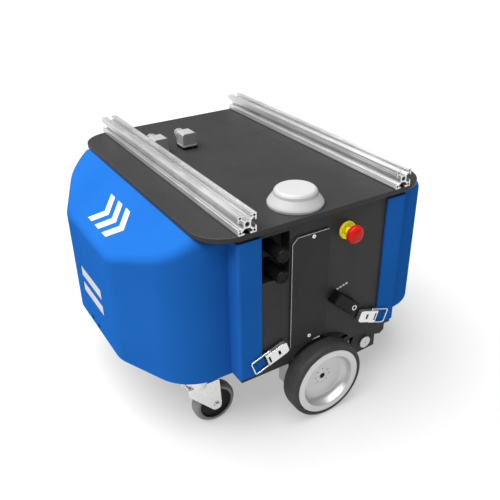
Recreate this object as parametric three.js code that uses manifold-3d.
// Mobile robot base: two sprung drive wheels, three swivel casters, moulded covers on toggle latches.
// Millimetres, +Z up, floor at z = 0. The nose faces -Y, the robot's left side is +X.
// The origin is on the floor, under the middle of the drive axle.
import * as THREE from 'three';
import { mergeVertices } from 'three/addons/utils/BufferGeometryUtils.js';
import Module from 'manifold-3d';

const wasm = await Module();
wasm.setup();

// ---------- driving dimensions ----------
const GAP = 0.3; // clearance between pieces that touch
const LEFT = 1;
const RIGHT = -1;
const FRONT = -1;
const REAR = 1;

const DECK = { width: 516, length: 408, thickness: 8, top: 380, corner: 55 };
const DECK_BOTTOM = DECK.top - DECK.thickness;
const RAIL = { size: 30, centreY: 141, slotMouth: 8.2, slotWidth: 16.4, lip: 2.6, slotDepth: 9 };
const CHASSIS = { halfWidth: 251.5, halfLength: 152.2, sheet: 3, floorBottom: 118, floorSheet: 4 };
const FLOOR_TOP = CHASSIS.floorBottom + CHASSIS.floorSheet;
const PANEL_INSIDE = CHASSIS.halfWidth - CHASSIS.sheet;
const BODY_TOP = DECK_BOTTOM - GAP;

const COVER = {
  bottom: 120.3, wall: 4, bodyHalfWidth: 225, noseHalfWidth: 97, reach: 292, cheekReach: 233,
  creaseHeight: 311, slopeTop: 373, slopeStart: 204, edgeRadius: 18, topRadius: 18,
  cheekRadius: 80, noseRadius: 60,
};
const FLANGE = { halfWidth: 255, inner: 251.8, from: 117, to: 156, bottom: 126, top: 366, corner: 5 };
const SLOT = { centreX: -9, length: 102, height: 20.5, heights: [214.5, 183] };
const PORT = { centreX: -13, spacing: 31, height: 130, radius: 5.2 };

const WHEEL = { radius: 70, width: 36, outerFace: 278, rimRadius: 60.3, sides: 32 };
const ARM = { inner: 234, outer: 240, pivotY: 107, pivotZ: 85, pinRadius: 7.7 };
const WELL = { radius: 80, inner: 200, front: -82, rear: 80 };
const SPRING = { x: 216, y: -38, radius: 10, wire: 1.6, turns: 4, bottom: 104.6, top: 160 };

const CASTER = { radius: 37.5, width: 22, trail: 28, plate: 50, top: CHASSIS.floorBottom - GAP, sides: 20 };
const CASTER_PLACES = {
  left: [180, -196.5],
  right: [-180, -196.5],
  rear: [0, 200],
};

const LATCH = {
  endY: 108.5, endZ: 151, tilt: 19.5, length: 38, width: 22, height: 8, wire: 1.2, reach: 27,
};
const ESTOP = { y: 39, z: 333.5, discRadius: 14.6, headRadius: 14.6, headStart: 14, stemRadius: 6.5 };
const RECESS = { front: -114, rear: -66.5, bottom: 287, top: 362, depth: 20 };

// ---------- materials ----------
function material(color, roughness, metalness) {
  return new THREE.MeshStandardMaterial({ color, roughness, metalness });
}
const BLUE_COVER = material(0x1f6fd0, 0.45, 0);
const DARK_SHEET = material(0x2b2b2c, 0.55, 0.2);
const RAIL_ALUMINIUM = material(0xc4c5c7, 0.35, 0.9);
const CAST_ALUMINIUM = material(0xb4b6b8, 0.45, 0.85);
const ZINC = material(0xcfd0d2, 0.3, 0.9);
const RUBBER = material(0x1d1d1e, 0.8, 0);
const BLACK_PLASTIC = material(0x161617, 0.5, 0);
const WHITE_PLASTIC = material(0xf0f0ee, 0.4, 0);
const GREY_HOOD = material(0x9b9d9f, 0.5, 0.5);
const RED_PLASTIC = material(0xc4201a, 0.35, 0);
const YELLOW_PLASTIC = material(0xe6d81a, 0.4, 0);
const DIFFUSER = material(0xd5d6da, 0.5, 0);
const CIRCUIT_GREEN = material(0x1f5a38, 0.6, 0);

// ---------- solids: three.js shapes joined and cut by manifold-3d ----------
function toSolid(geometry) {
  const bare = geometry.clone();
  bare.deleteAttribute('normal');
  bare.deleteAttribute('uv');
  const merged = mergeVertices(bare, 1e-4);
  const vertProperties = new Float32Array(merged.attributes.position.array);
  const triVerts = new Uint32Array(merged.index.array);
  return new wasm.Manifold(new wasm.Mesh({ numProp: 3, vertProperties, triVerts }));
}

function toGeometry(solid) {
  const mesh = solid.getMesh();
  const geometry = new THREE.BufferGeometry();
  geometry.setAttribute('position', new THREE.BufferAttribute(mesh.vertProperties, 3));
  geometry.setIndex(new THREE.BufferAttribute(mesh.triVerts, 1));
  geometry.computeVertexNormals();
  return geometry;
}

function join(solids) {
  return solids.reduce((sum, solid) => sum.add(solid));
}

function span(a, b) {
  return [Math.min(a, b), Math.max(a, b)];
}

// A box between two limits on each axis, given in either order.
function block(xs, ys, zs) {
  const [x0, x1] = span(...xs);
  const [y0, y1] = span(...ys);
  const [z0, z1] = span(...zs);
  const geometry = new THREE.BoxGeometry(x1 - x0, y1 - y0, z1 - z0);
  geometry.translate((x0 + x1) / 2, (y0 + y1) / 2, (z0 + z1) / 2);
  return toSolid(geometry);
}

// A round bar between two points.
function rod(from, to, radius, sides = 16, endRadius = radius) {
  const start = new THREE.Vector3(...from);
  const end = new THREE.Vector3(...to);
  const along = end.clone().sub(start);
  const geometry = new THREE.CylinderGeometry(endRadius, radius, along.length(), sides);
  const up = new THREE.Vector3(0, 1, 0);
  geometry.applyQuaternion(new THREE.Quaternion().setFromUnitVectors(up, along.normalize()));
  geometry.translate(...start.add(end).multiplyScalar(0.5).toArray());
  return toSolid(geometry);
}

function outline(points) {
  return new THREE.Shape(points.map(([x, y]) => new THREE.Vector2(x, y)));
}

// A (y, z) shape that fills the stretch between two x positions.
function plateX(shape, xs) {
  const [x0, x1] = span(...xs);
  const depth = x1 - x0;
  const geometry = new THREE.ExtrudeGeometry(shape, { depth, bevelEnabled: false, curveSegments: 8 });
  geometry.applyMatrix4(new THREE.Matrix4().makeBasis(
    new THREE.Vector3(0, 1, 0),
    new THREE.Vector3(0, 0, 1),
    new THREE.Vector3(1, 0, 0),
  ));
  geometry.translate(x0, 0, 0);
  return toSolid(geometry);
}

// A profile of [radius, height] pairs turned about +Z, with a flat side facing -Y.
function turned(profile, sides) {
  const points = profile.map(([radius, height]) => new THREE.Vector2(radius, height));
  const geometry = new THREE.LatheGeometry(points, sides, Math.PI / sides);
  geometry.rotateX(Math.PI / 2);
  return toSolid(geometry);
}

// A profile of [radius, x] pairs turned about the X axis, with a flat side facing down.
function wheelSolid(profile, sides) {
  const flatScale = 1 / Math.cos(Math.PI / sides);
  const scaled = profile.map(([radius, x]) => [radius * flatScale, x]);
  return turned(scaled, sides).rotate([0, 90, 0]);
}

// ---------- rounded outlines and lofts ----------
// Corners are [x, y, radius]; the result is a list of points, each with its outward normal.
function roundedOutline(corners, arcSteps = 8) {
  const samples = [];
  corners.forEach(([x, y, radius], i) => {
    const corner = new THREE.Vector2(x, y);
    const before = new THREE.Vector2(...corners.at(i - 1)).sub(corner).normalize();
    const after = new THREE.Vector2(...corners[(i + 1) % corners.length]).sub(corner).normalize();
    const startAngle = Math.atan2(-before.y, -before.x) - Math.PI / 2;
    const turn = Math.acos(THREE.MathUtils.clamp(-before.dot(after), -1, 1));
    const bisector = before.clone().add(after).normalize();
    const centre = corner.clone().addScaledVector(bisector, radius / Math.cos(turn / 2));
    if (radius === 0) {
      samples.push({ point: corner, normal: bisector.negate() });
      return;
    }
    for (let step = 0; step <= arcSteps; step += 1) {
      const angle = startAngle + (turn * step) / arcSteps;
      const normal = new THREE.Vector2(Math.cos(angle), Math.sin(angle));
      samples.push({ point: centre.clone().addScaledVector(normal, radius), normal });
    }
  });
  return samples;
}

function ring(samples, inset, height) {
  return samples.map(({ point, normal }) => {
    const moved = point.clone().addScaledVector(normal, -inset);
    return new THREE.Vector3(moved.x, moved.y, height);
  });
}

// A closed solid through rings with the same number of points, the first and last ring capped.
function loft(rings) {
  const count = rings[0].length;
  const middle = (points) => points.reduce((sum, p) => sum.add(p), new THREE.Vector3()).divideScalar(count);
  const points = [...rings.flat(), middle(rings[0]), middle(rings.at(-1))];
  const bottomCentre = points.length - 2;
  const topCentre = points.length - 1;
  const lastRing = (rings.length - 1) * count;
  const index = [];
  for (let i = 0; i < count; i += 1) {
    const next = (i + 1) % count;
    index.push(bottomCentre, next, i);
    index.push(topCentre, lastRing + i, lastRing + next);
    for (let base = 0; base < lastRing; base += count) {
      index.push(base + i, base + next, base + count + next);
      index.push(base + i, base + count + next, base + count + i);
    }
  }
  const geometry = new THREE.BufferGeometry().setFromPoints(points);
  geometry.setIndex(index);
  return toSolid(geometry);
}

function roundedPlate(corners, z0, z1, arcSteps) {
  const samples = roundedOutline(corners, arcSteps);
  return loft([ring(samples, 0, z0), ring(samples, 0, z1)]);
}

// ---------- the assembly ----------
const robot = new THREE.Group();

function add(parent, name, shape, look) {
  const geometry = shape.isBufferGeometry ? shape : toGeometry(shape);
  const mesh = new THREE.Mesh(geometry, look);
  mesh.name = name;
  parent.add(mesh);
}

function groupAt(x, y, z) {
  const group = new THREE.Group();
  group.position.set(x, y, z);
  robot.add(group);
  return group;
}

// ---------- chassis ----------
// The plan of a nose, from its back edge to its front face, with rounded cheeks.
function nosePlan(inset, back) {
  const body = COVER.bodyHalfWidth;
  const nose = COVER.noseHalfWidth;
  const samples = roundedOutline([
    [-body, -back, 0],
    [-body, -COVER.cheekReach, COVER.cheekRadius],
    [-nose, -COVER.reach, COVER.noseRadius],
    [nose, -COVER.reach, COVER.noseRadius],
    [body, -COVER.cheekReach, COVER.cheekRadius],
    [body, -back, 0],
  ], 5);
  samples.at(0).normal.set(-1, 0);
  samples.at(-1).normal.set(1, 0);
  return samples.map(({ point, normal }) => ({ point: point.addScaledVector(normal, -inset), normal }));
}

function floorPlate() {
  const tub = { x: PANEL_INSIDE - GAP, y: CHASSIS.halfLength };
  const middle = block([-tub.x, tub.x], [-tub.y, tub.y], [CHASSIS.floorBottom, FLOOR_TOP]);
  const plan = nosePlan(COVER.wall + 1.2, CHASSIS.halfLength - 2);
  const tongue = loft([ring(plan, 0, CHASSIS.floorBottom), ring(plan, 0, FLOOR_TOP)]);
  let plate = join([middle, tongue, tongue.rotate([0, 0, 180])]);
  for (const side of [LEFT, RIGHT]) {
    plate = plate.subtract(block([side * WELL.inner, side * 260], [WELL.front, WELL.rear], [100, 140]));
    const lug = 13;
    const lugWidth = [ARM.pivotY - lug, ARM.pivotY + lug];
    plate = plate.add(block([side * 216, side * 233.4], lugWidth, [ARM.pivotZ - lug, FLOOR_TOP]));
    const pinHole = rod([side * 210, ARM.pivotY, ARM.pivotZ], [side * 240, ARM.pivotY, ARM.pivotZ], 8);
    plate = plate.subtract(pinHole);
    const towerTop = SPRING.top + 4;
    const towerWidth = [SPRING.y - 18, SPRING.y + 18];
    plate = plate.add(block([side * 194, side * 198], towerWidth, [FLOOR_TOP - 1, towerTop]));
    plate = plate.add(block([side * 194, side * 230], towerWidth, [SPRING.top, towerTop]));
    plate = plate.add(block([side * 200, side * 203], [38, 148], [62, FLOOR_TOP]));
  }
  return plate;
}

function sidePanel(side) {
  const panel = outline([
    [-CHASSIS.halfLength, CHASSIS.floorBottom],
    [CHASSIS.halfLength, CHASSIS.floorBottom],
    [CHASSIS.halfLength, BODY_TOP],
    [-CHASSIS.halfLength, BODY_TOP],
  ]);
  const inner = side * PANEL_INSIDE;
  const outer = side * CHASSIS.halfWidth;
  const wheelArch = rod([side * 230, 0, WHEEL.radius], [side * 270, 0, WHEEL.radius], WELL.radius, 40);
  return plateX(panel, [inner, outer]).subtract(wheelArch);
}

// The left panel also holds the connector recess and the hole for the emergency stop's neck.
function leftPanel() {
  const floorX = PANEL_INSIDE - RECESS.depth;
  const wall = 2;
  const pocket = block(
    [floorX - wall, PANEL_INSIDE + 0.5],
    [RECESS.front - wall, RECESS.rear + wall],
    [RECESS.bottom - wall, RECESS.top + wall],
  );
  const hollow = block([floorX, 260], [RECESS.front, RECESS.rear], [RECESS.bottom, RECESS.top]);
  const neckHole = rod([240, ESTOP.y, ESTOP.z], [260, ESTOP.y, ESTOP.z], ESTOP.stemRadius + 0.7);
  return sidePanel(LEFT).add(pocket).subtract(hollow).subtract(neckHole);
}

function bulkhead(end) {
  const halfWidth = PANEL_INSIDE - GAP;
  const outer = end * CHASSIS.halfLength;
  const inner = outer - end * CHASSIS.sheet;
  const sheet = block([-halfWidth, halfWidth], [inner, outer], [FLOOR_TOP + GAP, BODY_TOP]);
  const cableWindow = block([-70, 70], [outer - end * 10, outer + end * 10], [190, 290]);
  return sheet.subtract(cableWindow);
}

function deckPlate() {
  const x = DECK.width / 2;
  const y = DECK.length / 2;
  const corners = [[x, -y], [x, y], [-x, y], [-x, -y]].map((corner) => [...corner, DECK.corner]);
  const samples = roundedOutline(corners, 8);
  return loft([ring(samples, 0.8, DECK_BOTTOM), ring(samples, 0, DECK_BOTTOM + 0.8),
    ring(samples, 0, DECK.top - 0.8), ring(samples, 0.8, DECK.top)]);
}

// Square slotted extrusion: a T-slot in each side, a centre bore and four corner bores.
function railSection() {
  const half = RAIL.size / 2;
  const mouth = RAIL.slotMouth / 2;
  const wide = RAIL.slotWidth / 2;
  const underLip = half - RAIL.lip;
  const floor = half - RAIL.slotDepth;
  const side = [
    [half, -half], [half, -mouth], [underLip, -mouth], [underLip, -wide], [underLip - 2, -wide],
    [floor, -mouth], [floor, mouth], [underLip - 2, wide], [underLip, wide], [underLip, mouth],
    [half, mouth],
  ];
  const points = [];
  const centre = new THREE.Vector2();
  for (let quarter = 0; quarter < 4; quarter += 1) {
    const angle = (quarter * Math.PI) / 2;
    points.push(...side.map(([x, y]) => new THREE.Vector2(x, y).rotateAround(centre, angle)));
  }
  const section = new THREE.Shape(points);
  section.holes.push(new THREE.Path().absarc(0, 0, 3.6, 0, 2 * Math.PI, true));
  for (const [sx, sy] of [[1, 1], [-1, 1], [-1, -1], [1, -1]]) {
    section.holes.push(new THREE.Path().absarc(sx * 11.2, sy * 11.2, 1.8, 0, 2 * Math.PI, true));
  }
  return section;
}

function rail() {
  const depth = DECK.width;
  const shape = new THREE.ExtrudeGeometry(railSection(), { depth, bevelEnabled: false, curveSegments: 4 });
  shape.rotateY(Math.PI / 2);
  shape.translate(-depth / 2, 0, DECK.top + GAP + RAIL.size / 2);
  return toSolid(shape);
}

add(robot, 'floor_plate', floorPlate(), DARK_SHEET);
add(robot, 'left_side_panel', leftPanel(), DARK_SHEET);
add(robot, 'right_side_panel', sidePanel(RIGHT), DARK_SHEET);
add(robot, 'front_bulkhead', bulkhead(FRONT), DARK_SHEET);
add(robot, 'rear_bulkhead', bulkhead(REAR), DARK_SHEET);
add(robot, 'deck_plate', deckPlate(), DARK_SHEET);
add(groupAt(0, FRONT * RAIL.centreY, 0), 'front_rail', rail(), RAIL_ALUMINIUM);
add(groupAt(0, REAR * RAIL.centreY, 0), 'rear_rail', rail(), RAIL_ALUMINIUM);

// ---------- covers ----------
// Height of the sloped top of the nose, measured at a distance from the axle.
function slopeHeight(distance) {
  const fall = (COVER.slopeTop - COVER.creaseHeight) / (COVER.reach - COVER.slopeStart);
  return COVER.creaseHeight + fall * (COVER.reach - distance);
}

// A nose solid with a sloped, filleted top; the ball of the fillet rolls along the plan.
function slopedNose(plan, bottomRings, radius, drop) {
  const fall = slopeHeight(0) - slopeHeight(1);
  const slopeNormal = new THREE.Vector3(0, -fall, 1).normalize();
  const filletSteps = 4;
  const rings = [...bottomRings];
  for (let step = 0; step <= filletSteps; step += 1) {
    rings.push(plan.map(({ point, normal }) => {
      const outward = new THREE.Vector3(normal.x, normal.y, 0);
      const centre = new THREE.Vector3(point.x, point.y, 0).addScaledVector(outward, -radius);
      centre.z = slopeHeight(-centre.y) - (drop + radius) / slopeNormal.z;
      const angle = outward.angleTo(slopeNormal);
      const share = (angle * step) / filletSteps;
      const direction = outward.multiplyScalar(Math.sin(angle - share))
        .addScaledVector(slopeNormal, Math.sin(share)).divideScalar(Math.sin(angle));
      return centre.addScaledVector(direction, radius);
    }));
  }
  return loft(rings);
}

// The same plan under a flat top with a rounded edge, which ends just below the deck.
function flatNose(plan, radius, top) {
  const rings = [ring(plan, 0, 50)];
  const steps = 3;
  for (let step = 0; step <= steps; step += 1) {
    const angle = (step / steps) * (Math.PI / 2);
    rings.push(ring(plan, radius * (1 - Math.cos(angle)), top - radius * (1 - Math.sin(angle))));
  }
  return loft(rings);
}

// A ridge on the flange that the wire bail of a latch hooks behind, and a tab that reaches back to the latch.
function latchRib(side) {
  const rib = block([LATCH.reach - 5.2, LATCH.reach - 1.8], [-7.5, 7.5], [2.6, 6.4]);
  const tab = block([3.4, 16], [-9, 9], [GAP, 3]);
  return rib.add(tab).transform(latchMatrix(side, FRONT).toArray());
}

// An open-backed moulded shell: nose, step and side flange, made at the front end.
function coverShell() {
  const outerPlan = nosePlan(0, CHASSIS.halfLength + 0.6);
  const bottomEdge = [[3, 0], [0.9, 0.9], [0, 3]].map(([inset, rise]) => (
    ring(outerPlan, inset, COVER.bottom + rise)
  ));
  const outer = slopedNose(outerPlan, bottomEdge, COVER.edgeRadius, 0)
    .intersect(flatNose(outerPlan, COVER.topRadius, BODY_TOP));
  const innerPlan = nosePlan(COVER.wall, 130);
  const inner = slopedNose(innerPlan, [ring(innerPlan, 0, 60)], COVER.edgeRadius - COVER.wall, COVER.wall)
    .intersect(flatNose(innerPlan, COVER.topRadius - COVER.wall, BODY_TOP - COVER.wall));
  const flange = roundedPlate([
    [-FLANGE.halfWidth, -FLANGE.from, 0],
    [-FLANGE.halfWidth, -FLANGE.to, FLANGE.corner],
    [FLANGE.halfWidth, -FLANGE.to, FLANGE.corner],
    [FLANGE.halfWidth, -FLANGE.from, 0],
  ], FLANGE.bottom, FLANGE.top, 3);
  const backFace = CHASSIS.halfLength + 0.6;
  const tub = block([-FLANGE.inner, FLANGE.inner], [-100, -backFace], [60, 400]);
  return outer.add(flange).subtract(inner).subtract(tub).add(latchRib(LEFT)).add(latchRib(RIGHT));
}

function frontCover() {
  let cover = coverShell();
  for (const height of SLOT.heights) {
    const [x0, x1] = [SLOT.centreX - SLOT.length / 2, SLOT.centreX + SLOT.length / 2];
    const window = block([x0, x1], [-300, -280], [height - SLOT.height / 2, height + SLOT.height / 2]);
    cover = cover.subtract(window);
  }
  for (const side of [LEFT, RIGHT]) {
    const x = PORT.centreX + (side * PORT.spacing) / 2;
    cover = cover.subtract(rod([x, -280, PORT.height], [x, -300, PORT.height], PORT.radius, 12));
  }
  return cover;
}

// A lit bar behind the cover whose lens fills the window almost to the surface, short of one end.
function lightBar(height) {
  const back = -COVER.reach + COVER.wall + GAP;
  const margin = 4;
  const [x0, x1] = [SLOT.centreX - SLOT.length / 2, SLOT.centreX + SLOT.length / 2];
  const [z0, z1] = [height - SLOT.height / 2, height + SLOT.height / 2];
  const body = block([x0 - margin, x1 + margin], [back, back + 5], [z0 - margin, z1 + margin]);
  const lens = block([x0 + 3, x1 - GAP], [0.8 - COVER.reach, back + 1], [z0 + GAP, z1 - GAP]);
  return body.add(lens);
}

function sensorBoard() {
  const board = block([PORT.centreX - 45, PORT.centreX + 45], [-282, -280], [FLOOR_TOP + GAP, 150]);
  const snouts = [LEFT, RIGHT].map((side) => {
    const x = PORT.centreX + (side * PORT.spacing) / 2;
    return rod([x, -281, PORT.height], [x, -291.6, PORT.height], PORT.radius - GAP, 12);
  });
  return join([board, ...snouts]);
}

// ---------- toggle latches ----------
// Local axes of a latch: +X pulls towards its cover, +Z points out of the side panel.
function latchMatrix(side, end) {
  const tilt = THREE.MathUtils.degToRad(LATCH.tilt);
  const pull = new THREE.Vector3(0, end * Math.cos(tilt), -Math.sin(tilt));
  const out = new THREE.Vector3(side, 0, 0);
  const across = new THREE.Vector3().crossVectors(out, pull);
  const origin = new THREE.Vector3(side * (CHASSIS.halfWidth + GAP), end * LATCH.endY, LATCH.endZ);
  return new THREE.Matrix4().makeBasis(pull, across, out).setPosition(origin);
}

const HINGE = { x: -1, z: 6, pinRadius: 1.5 };
const BAIL = { x: -9, halfSpan: LATCH.width / 2 + 1.7 };

function latchBase() {
  const foot = block([-34, 1.5], [-7, 7], [0, 1.4]);
  const ears = [-1, 1].flatMap((hand) => [
    block([HINGE.x - 1.5, HINGE.x + 1.5], [hand * 5.4, hand * 7], [0, HINGE.z]),
    rod([HINGE.x, hand * 5.4, HINGE.z], [HINGE.x, hand * 7, HINGE.z], 2.1, 10),
  ]);
  const pin = rod([HINGE.x, -8.8, HINGE.z], [HINGE.x, 8.8, HINGE.z], HINGE.pinRadius, 6);
  return join([foot, ...ears, pin]);
}

function latchLever() {
  const half = LATCH.width / 2;
  const body = block([-LATCH.length, HINGE.x + 3.5], [-half, half], [2, 2 + LATCH.height]);
  const underside = block([-LATCH.length + 1.6, 10], [-half + 1.6, half - 1.6], [0, 0.4 + LATCH.height]);
  const pinHole = rod([HINGE.x, -20, HINGE.z], [HINGE.x, 20, HINGE.z], HINGE.pinRadius + GAP, 6);
  const bailHole = rod([BAIL.x, -20, HINGE.z], [BAIL.x, 20, HINGE.z], LATCH.wire + GAP, 6);
  const frontSlot = block([-4.2, -0.6], [-6.8, 6.8], [5, 20]);
  const rearSlot = block([-23.5, -19], [-4.6, 4.6], [5, 20]);
  const foldedEars = [-1, 1].map((hand) => (
    block([HINGE.x - 3, HINGE.x + 3], [hand * 7.4, hand * 9.5], [2.4, 2 + LATCH.height - 0.4])
  ));
  const tray = body.subtract(underside);
  return join([tray, ...foldedEars]).subtract(join([pinHole, bailHole, frontSlot, rearSlot]));
}

function latchBail() {
  const y = BAIL.halfSpan;
  const { wire } = LATCH;
  const tail = [-1, 1].map((hand) => (
    rod([BAIL.x, hand * (y + wire * 0.8), HINGE.z], [BAIL.x, hand * (y - 2.7), HINGE.z], wire, 6)
  ));
  const legs = [-1, 1].map((hand) => (
    rod([BAIL.x - wire * 0.8, hand * y, HINGE.z], [LATCH.reach + wire * 0.8, hand * y, HINGE.z], wire, 6)
  ));
  const bar = rod([LATCH.reach, -y - wire * 0.8, HINGE.z], [LATCH.reach, y + wire * 0.8, HINGE.z], wire, 6);
  return join([...tail, ...legs, bar]);
}

function addLatch(side, end, place) {
  const group = new THREE.Group();
  group.applyMatrix4(latchMatrix(side, end));
  robot.add(group);
  add(group, `${place}_latch_base`, latchBase(), ZINC);
  add(group, `${place}_latch_lever`, latchLever(), ZINC);
  add(group, `${place}_latch_bail`, latchBail(), ZINC);
}

add(robot, 'front_cover', frontCover(), BLUE_COVER);
add(robot, 'rear_cover', coverShell().rotate([0, 0, 180]), BLUE_COVER);
add(robot, 'upper_light_bar', lightBar(SLOT.heights[0]), DIFFUSER);
add(robot, 'lower_light_bar', lightBar(SLOT.heights[1]), DIFFUSER);
add(robot, 'nose_sensor_board', sensorBoard(), CIRCUIT_GREEN);
addLatch(LEFT, FRONT, 'front_left');
addLatch(LEFT, REAR, 'rear_left');
addLatch(RIGHT, FRONT, 'front_right');
addLatch(RIGHT, REAR, 'rear_right');

// ---------- fittings on the left side ----------
function accessPanel() {
  const sheet = outline([[-64, 152], [7.7, 152], [7.7, 343], [3, 347.7], [-54.5, 347.7], [-64, 338]]);
  const inner = CHASSIS.halfWidth + GAP;
  const arch = rod([240, 0, WHEEL.radius], [270, 0, WHEEL.radius], WELL.radius + 4, 40);
  return plateX(sheet, [inner, inner + 2.8]).subtract(arch);
}

// A round capped connector that stands on the floor of the recess.
function cappedConnector() {
  const reach = 44;
  return turned([
    [0, 0], [13, 0], [13, 3], [9.5, 3], [10.6, 11], [10.6, reach - 17],
    [11.4, reach - 16], [11.4, reach - 2], [9.6, reach], [0, reach],
  ], 14).rotate([0, 90, 0]);
}

// An angled plug-in socket: a bar that slopes down to the rear, with a round contact ring at its low end.
function chargeSocket() {
  const foot = block([-27, 30], [-11.5, 11.5], [0, 3]);
  const hood = block([-25.5, 28], [-10, 10], [2, 16]);
  const nose = block([6, 34], [-12, 12], [6, 14]);
  const mouth = rod([21, 1.5, 10], [21, 1.5, 30], 5, 16);
  return join([foot, hood, nose]).subtract(mouth);
}

function emergencyStop() {
  const group = groupAt(CHASSIS.halfWidth + GAP, ESTOP.y, ESTOP.z);
  const disc = rod([0, 0, 0], [4, 0, 0], ESTOP.discRadius, 28)
    .subtract(rod([-1, 0, 0], [5, 0, 0], ESTOP.stemRadius + 0.7, 16));
  add(group, 'estop_bezel', disc, YELLOW_PLASTIC);
  const { headStart, headRadius } = ESTOP;
  const stem = rod([-7, 0, 0], [headStart - GAP, 0, 0], ESTOP.stemRadius, 16);
  add(group, 'estop_stem', stem, BLACK_PLASTIC);
  const head = turned([
    [0, headStart], [12.4, headStart], [headRadius, headStart + 1.5], [headRadius, headStart + 7],
    [13, headStart + 10.4], [8.4, headStart + 12.8], [0, headStart + 13.5],
  ], 20).rotate([0, 90, 0]);
  add(group, 'estop_head', head, RED_PLASTIC);
}

add(robot, 'access_panel', accessPanel(), DARK_SHEET);
const recessFloor = PANEL_INSIDE - RECESS.depth + GAP;
add(groupAt(recessFloor, -90.5, 336), 'upper_capped_connector', cappedConnector(), BLACK_PLASTIC);
add(groupAt(recessFloor, -91, 301.5), 'lower_capped_connector', cappedConnector(), BLACK_PLASTIC);
const socketGroup = groupAt(CHASSIS.halfWidth + GAP, 36, 206);
socketGroup.rotation.set(THREE.MathUtils.degToRad(-41), 0, 0);
const socketTurn = new THREE.Matrix4().makeBasis(
  new THREE.Vector3(0, 1, 0),
  new THREE.Vector3(0, 0, 1),
  new THREE.Vector3(1, 0, 0),
);
add(socketGroup, 'charge_socket', chargeSocket().transform(socketTurn.toArray()), BLACK_PLASTIC);
emergencyStop();

// ---------- fittings on the deck ----------
function antennaDome() {
  return turned([
    [0, 0], [43, 0], [43, 3], [41.5, 6], [36, 13.5], [34, 16], [33, 20], [31, 23.2], [27, 24.6], [0, 25],
  ], 24);
}

function connectorHood() {
  const foot = block([-15.5, 15.5], [-14.5, 14.5], [0, 7]);
  const side = outline([[-13.5, 7], [13.5, 7], [13.5, 26], [10, 29], [-10, 29], [-13.5, 26]]);
  return join([foot, plateX(side, [-14, 14])]);
}

// The gland screws into the hood and points to the right of the robot.
function cableGland() {
  return turned([
    [0, 0], [9.6, 0], [9.6, 4], [8, 4.6], [8, 7], [9.2, 8], [9.2, 19], [7, 24], [4, 24], [4, 18], [0, 18],
  ], 12);
}

function addDeckConnector(name, y) {
  const group = groupAt(-95, y, DECK.top + GAP);
  add(group, `${name}_hood`, connectorHood(), GREY_HOOD);
  const gland = new THREE.Group();
  gland.position.set(-14 - GAP, 0, 17);
  gland.rotation.y = -Math.PI / 2;
  group.add(gland);
  add(gland, `${name}_gland`, cableGland(), ZINC);
}

add(groupAt(211, -29, DECK.top + GAP), 'antenna_dome', antennaDome(), WHITE_PLASTIC);
addDeckConnector('front_connector', -110.5);
addDeckConnector('rear_connector', -55);

// ---------- inside the tub ----------
add(robot, 'battery_pack', block([-120, 120], [-62, 62], [FLOOR_TOP + GAP, 232]), BLACK_PLASTIC);
add(robot, 'drive_controller', block([-90, 90], [78, 140], [FLOOR_TOP + GAP, 172]), CAST_ALUMINIUM);

// ---------- drive modules ----------
function swingArm(side) {
  const plate = outline([
    [-52, 56], [-10, 46], [30, 46], [64, 62], [100, 66], [131, 68], [131, 91], [144, 88], [152, 94],
    [152, 108], [148, 112], [62, 112], [34, 104], [-52, 98],
  ]);
  const lighteningHole = outline([[66, 106], [82, 106], [76, 90]]);
  const axleHole = rod([side * 220, 0, WHEEL.radius], [side * 250, 0, WHEEL.radius], 13);
  const pinHole = rod([side * 220, ARM.pivotY, ARM.pivotZ], [side * 250, ARM.pivotY, ARM.pivotZ], 8);
  const xs = [side * ARM.inner, side * ARM.outer];
  return plateX(plate, xs)
    .subtract(plateX(lighteningHole, [side * 220, side * 250]))
    .subtract(axleHole)
    .subtract(pinHole);
}

function pivotPin(side) {
  const shaft = rod(
    [side * 218, ARM.pivotY, ARM.pivotZ],
    [side * (ARM.outer + 1), ARM.pivotY, ARM.pivotZ],
    ARM.pinRadius,
  );
  const head = rod(
    [side * (ARM.outer + GAP), ARM.pivotY, ARM.pivotZ],
    [side * (ARM.outer + 3.5), ARM.pivotY, ARM.pivotZ],
    11.5,
    24,
  );
  return shaft.add(head);
}

// Right-angle gearbox on the arm with its motor lying across the robot.
function gearmotor(side) {
  const gearbox = block([side * 206, side * (ARM.inner - GAP)], [-52, 40], [50, 104]);
  const motor = rod([side * 100, -4, 72], [side * 207, -4, 72], 30, 28);
  const shaftHole = rod([side * 215, 0, WHEEL.radius], [side * 240, 0, WHEEL.radius], 10.6);
  return gearbox.add(motor).subtract(shaftHole);
}

// Spun rim with a dished centre and its drive shaft; x runs outwards from the tyre's inner edge.
function rimProfile() {
  const { rimRadius, width } = WHEEL;
  return [
    [0, 4 - width / 2 - 22], [10, 4 - width / 2 - 22], [10, -5], [38, -2], [49, 4], [51, 4 - width / 2],
    [rimRadius, 0.6 - width / 2], [rimRadius, width / 2], [48, width / 2],
    [46, 9], [34, 2.8], [15, 0.2], [5, 0], [5, -3], [0, -3],
  ];
}

function tyreProfile() {
  const { radius, rimRadius, width } = WHEEL;
  const half = width / 2;
  const inner = rimRadius + GAP;
  return [
    [inner, -half + 1], [radius - 5, -half + 0.4], [radius - 2, -half + 2.4], [radius, -half + 7],
    [radius, half - 7], [radius - 2, half - 2.4], [radius - 5, half - 0.4], [inner, half - 1],
    [inner, -half + 1],
  ];
}

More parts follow.
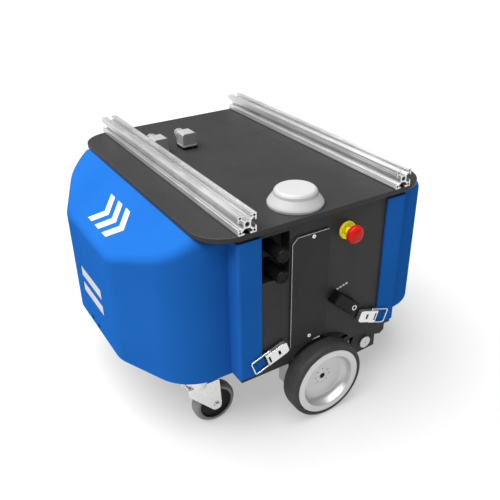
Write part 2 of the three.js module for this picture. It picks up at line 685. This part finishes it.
function addDriveModule(side, place) {
  add(robot, `${place}_swing_arm`, swingArm(side), DARK_SHEET);
  add(robot, `${place}_pivot_pin`, pivotPin(side), ZINC);
  add(robot, `${place}_gearmotor`, gearmotor(side), CAST_ALUMINIUM);
  const axle = groupAt(side * (WHEEL.outerFace - WHEEL.width / 2), 0, WHEEL.radius);
  axle.rotation.z = side === LEFT ? 0 : Math.PI;
  add(axle, `${place}_wheel_rim`, wheelSolid(rimProfile(), WHEEL.sides), CAST_ALUMINIUM);
  add(axle, `${place}_wheel_tyre`, wheelSolid(tyreProfile(), WHEEL.sides), RUBBER);
}

class Helix extends THREE.Curve {
  getPoint(t, target = new THREE.Vector3()) {
    const angle = t * SPRING.turns * 2 * Math.PI;
    const height = SPRING.top - SPRING.bottom - 2 * (SPRING.wire + GAP);
    const x = SPRING.radius * Math.cos(angle);
    const y = SPRING.radius * Math.sin(angle);
    return target.set(x, y, SPRING.bottom + SPRING.wire + GAP + height * t);
  }
}

function coilSpring() {
  const section = new THREE.Shape().absarc(0, 0, SPRING.wire, 0, 2 * Math.PI);
  const steps = SPRING.turns * 8;
  return new THREE.ExtrudeGeometry(section, { steps, curveSegments: 3, extrudePath: new Helix() });
}

addDriveModule(LEFT, 'left');
addDriveModule(RIGHT, 'right');
add(groupAt(SPRING.x, SPRING.y, 0), 'left_suspension_spring', coilSpring(), ZINC);
add(groupAt(-SPRING.x, SPRING.y, 0), 'right_suspension_spring', coilSpring(), ZINC);

// ---------- casters ----------
// Local axes of a caster: the swivel axis is Z, and the wheel trails towards +Y.
function casterPlate() {
  const half = CASTER.plate / 2;
  const plate = block([-half, half], [-half, half], [CASTER.top - 3, CASTER.top]);
  const raceway = rod([0, 0, CASTER.top - 13], [0, 0, CASTER.top - 2], 17, 18, 21);
  return plate.add(raceway);
}

function casterFork() {
  const crownTop = CASTER.top - 13 - GAP;
  const crown = rod([0, 0, 84], [0, 0, crownTop], 18, 18, 21.5);
  const { trail, radius } = CASTER;
  const cheek = outline([
    [-21, 77], [-21, 88], [-18, 91], [31, 91], [34.5, 88], [trail + 9, radius + 2], [trail + 7, radius - 6],
    [trail, radius - 9.5], [trail - 6, radius - 7.5],
  ]);
  const inner = CASTER.width / 2 + 1.9;
  const outer = inner + 2.5;
  const cheeks = [-1, 1].map((hand) => plateX(cheek, [hand * inner, hand * outer]));
  const bridge = block([-inner - 1, inner + 1], [-20, 33], [86, 91]);
  const bolt = rod([-outer - 3, trail, radius], [outer + 3, trail, radius], 4, 12);
  return join([crown, bridge, ...cheeks, bolt]);
}

function casterWheel() {
  const half = CASTER.width / 2;
  const { radius } = CASTER;
  return wheelSolid([
    [4.3, -half - 1], [9, -half - 1], [9, -half + 3], [27, -half + 3], [28, -half], [radius - 5, -half],
    [radius, -half + 6], [radius, half - 6], [radius - 5, half],
    [28, half], [27, half - 3], [9, half - 3], [9, half + 1], [4.3, half + 1], [4.3, -half - 1],
  ], CASTER.sides);
}

for (const [place, [x, y]] of Object.entries(CASTER_PLACES)) {
  const swivel = groupAt(x, y, 0);
  add(swivel, `${place}_caster_plate`, casterPlate(), ZINC);
  add(swivel, `${place}_caster_fork`, casterFork(), ZINC);
  const hub = new THREE.Group();
  hub.position.set(0, CASTER.trail, CASTER.radius);
  swivel.add(hub);
  add(hub, `${place}_caster_wheel`, casterWheel(), RUBBER);
}

export default robot;
